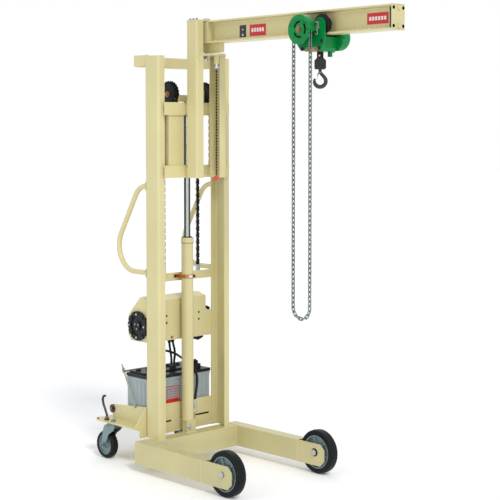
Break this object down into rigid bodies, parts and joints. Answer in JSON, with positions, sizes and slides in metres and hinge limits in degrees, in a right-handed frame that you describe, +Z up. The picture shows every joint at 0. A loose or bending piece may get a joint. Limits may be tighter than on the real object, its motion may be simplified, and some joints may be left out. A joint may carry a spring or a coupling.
{
  "type": "mobile jib crane",
  "caption": "Battery-hydraulic mast lifter on straddle legs, with a swinging I-beam jib, a trolley and a hand chain hoist.",
  "frame": {"origin": "on the floor, in the middle of the overall width and of the overall length with the jib straight ahead", "axes": "+Z up; the jib points along -Y at rest and the casters stand at +Y; +X is the side that the jib swings to"},
  "size_m": [0.642, 1.668, 2.068],
  "materials": {
    "cream_paint": "satin",
    "green_paint": "satin",
    "zinc_steel": "satin",
    "black_steel": "satin",
    "dark_chrome": "polished",
    "yellow_zinc": "satin",
    "battery_grey": "matte",
    "battery_black": "matte",
    "cable_rubber": "matte",
    "red_plastic": "gloss",
    "wheel_rubber": "matte",
    "wheel_grey": "satin"
  },
  "bodies": {
    "root": {"legs": "cream_paint", "front_axles": "zinc_steel", "cross_beam": "cream_paint", "mast_columns": "cream_paint", "top_bow": "cream_paint", "mid_bar": "cream_paint", "battery_tray": "cream_paint", "cylinder_tube": "cream_paint", "cylinder_clamps": "yellow_zinc", "push_handles": "cream_paint", "power_cover": "cream_paint", "pump_motor": "black_steel", "battery_case": "battery_grey", "battery_lid": "battery_black", "battery_clamp": "zinc_steel", "left_battery_cable": "cable_rubber", "middle_battery_cable": "cable_rubber", "right_battery_cable": "cable_rubber", "hydraulic_hose": "cable_rubber", "chain_anchors": "zinc_steel", "rear_chains": "black_steel", "brake_pedals": "black_steel"},
    "rod": {"piston_rod": "dark_chrome", "crosshead": "cream_paint", "chain_arcs": "black_steel"},
    "sheaves": {"chain_sheaves": "black_steel"},
    "carriage": {"cross_plates": "cream_paint", "carriage_sides": "cream_paint", "carriage_rollers": "zinc_steel", "jib_posts": "cream_paint", "hinge_pin": "zinc_steel", "front_chains": "black_steel"},
    "lock": {"lock_plunger": "zinc_steel", "pull_chain": "zinc_steel", "pull_knob": "red_plastic"},
    "jib": {"jib_beam": "cream_paint", "jib_root": "cream_paint"},
    "trolley": {"trolley_plates": "green_paint", "hoist_body": "green_paint", "gear_case": "green_paint", "wheel_cover": "green_paint", "hand_chain": "zinc_steel"},
    "hand_wheel": {"hand_wheel": "zinc_steel"},
    "left_front_roller": {"left_front_roller": "black_steel"},
    "left_rear_roller": {"left_rear_roller": "black_steel"},
    "right_front_roller": {"right_front_roller": "black_steel"},
    "right_rear_roller": {"right_rear_roller": "black_steel"},
    "hook": {"hook_block": "black_steel", "hook": "black_steel"},
    "latch": {"hook_latch": "black_steel"},
    "left_wheel": {"left_tyre": "wheel_rubber", "left_hub": "wheel_grey"},
    "right_wheel": {"right_tyre": "wheel_rubber", "right_hub": "wheel_grey"},
    "left_caster": {"left_fork": "zinc_steel"},
    "right_caster": {"right_fork": "zinc_steel"},
    "left_caster_wheel": {"left_caster_tyre": "wheel_rubber", "left_caster_hub": "wheel_grey"},
    "right_caster_wheel": {"right_caster_tyre": "wheel_rubber", "right_caster_hub": "wheel_grey"}
  },
  "joints": [
    {"name": "rod_lift", "type": "slide", "parent": "root", "child": "rod", "axis": [0, 0, 1], "range_m": [-0.585, 0.04], "deforming": ["rear_chains"]},
    {"name": "carriage_lift", "type": "slide", "parent": "rod", "child": "carriage", "axis": [0, 0, 1], "range_m": [-0.585, 0.04], "deforming": ["front_chains", "hand_chain"]},
    {"name": "sheave_spin", "type": "hinge", "parent": "rod", "child": "sheaves", "pos_m": [0, 0.447, 1.724], "axis": [1, 0, 0], "continuous": true},
    {"name": "jib_swing", "type": "hinge", "parent": "carriage", "child": "jib", "pos_m": [0, 0.309, 1.98], "axis": [0, 0, 1], "range_deg": [0, 90]},
    {"name": "lock_lift", "type": "slide", "parent": "carriage", "child": "lock", "axis": [0, 0, 1], "range_m": [0, 0.012]},
    {"name": "trolley_travel", "type": "slide", "parent": "jib", "child": "trolley", "axis": [0, 1, 0], "range_m": [-0.33, 0.43]},
    {"name": "left_front_roller_spin", "type": "hinge", "parent": "trolley", "child": "left_front_roller", "pos_m": [-0.034, -0.455, 1.9934], "axis": [1, 0, 0], "continuous": true},
    {"name": "left_rear_roller_spin", "type": "hinge", "parent": "trolley", "child": "left_rear_roller", "pos_m": [-0.034, -0.355, 1.9934], "axis": [1, 0, 0], "continuous": true},
    {"name": "right_front_roller_spin", "type": "hinge", "parent": "trolley", "child": "right_front_roller", "pos_m": [0.034, -0.455, 1.9934], "axis": [1, 0, 0], "continuous": true},
    {"name": "right_rear_roller_spin", "type": "hinge", "parent": "trolley", "child": "right_rear_roller", "pos_m": [0.034, -0.355, 1.9934], "axis": [1, 0, 0], "continuous": true},
    {"name": "hand_wheel_spin", "type": "hinge", "parent": "trolley", "child": "hand_wheel", "pos_m": [-0.108, -0.39, 1.973], "axis": [1, 0, 0], "continuous": true},
    {"name": "hook_swivel", "type": "hinge", "parent": "trolley", "child": "hook", "pos_m": [0, -0.405, 1.83], "axis": [0, 0, 1], "continuous": true},
    {"name": "latch_hinge", "type": "hinge", "parent": "hook", "child": "latch", "pos_m": [0.00216, -0.40708, 1.799], "axis": [0.693, 0.7209, 0], "range_deg": [-35, 0], "stiffness_Nm_per_rad": 0.02, "springref_deg": 11.46},
    {"name": "left_wheel_spin", "type": "hinge", "parent": "root", "child": "left_wheel", "pos_m": [-0.284, -0.138, 0.1], "axis": [1, 0, 0], "continuous": true},
    {"name": "left_caster_swivel", "type": "hinge", "parent": "root", "child": "left_caster", "pos_m": [-0.24, 0.71, 0.17], "axis": [0, 0, 1], "continuous": true},
    {"name": "left_caster_spin", "type": "hinge", "parent": "left_caster", "child": "left_caster_wheel", "pos_m": [-0.24, 0.755, 0.065], "axis": [1, 0, 0], "continuous": true},
    {"name": "right_wheel_spin", "type": "hinge", "parent": "root", "child": "right_wheel", "pos_m": [0.284, -0.138, 0.1], "axis": [1, 0, 0], "continuous": true},
    {"name": "right_caster_swivel", "type": "hinge", "parent": "root", "child": "right_caster", "pos_m": [0.24, 0.71, 0.17], "axis": [0, 0, 1], "continuous": true},
    {"name": "right_caster_spin", "type": "hinge", "parent": "right_caster", "child": "right_caster_wheel", "pos_m": [0.24, 0.755, 0.065], "axis": [1, 0, 0], "continuous": true}
  ],
  "couplings": [
    {"joint": "carriage_lift", "follows": "rod_lift", "ratio": 1}
  ]
}
